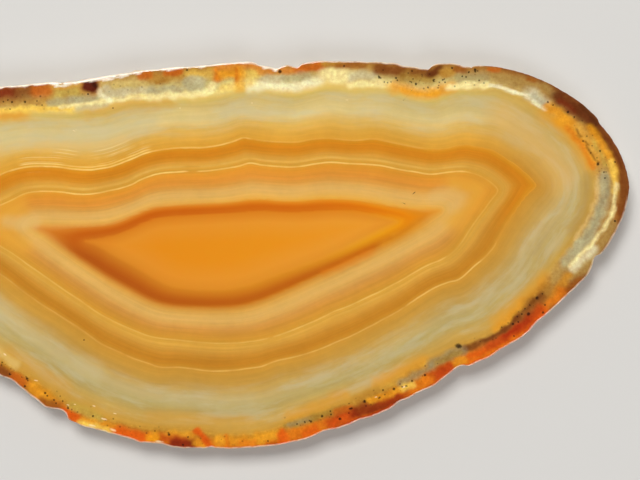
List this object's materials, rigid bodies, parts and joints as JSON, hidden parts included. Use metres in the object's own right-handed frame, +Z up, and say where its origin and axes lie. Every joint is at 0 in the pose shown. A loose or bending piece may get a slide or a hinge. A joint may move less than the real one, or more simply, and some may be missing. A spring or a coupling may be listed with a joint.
{
  "type": "agate slice",
  "caption": "Flat polished slab of honey-coloured banded agate with its rough natural rind left round the edge, to lie on a surface.",
  "frame": {"origin": "bottom centre of the box, on the surface that the slice lies on", "axes": "+X along the slice towards its blunt right end, +Y across it towards the straighter edge, +Z up through the polished face"},
  "size_m": [0.1248, 0.062, 0.005],
  "materials": {
    "agate": "polished sawn faces, rough natural rind on the edge, honey and amber bands"
  },
  "bodies": {
    "root": {"agate_slice": "agate"}
  },
  "joints": []
}
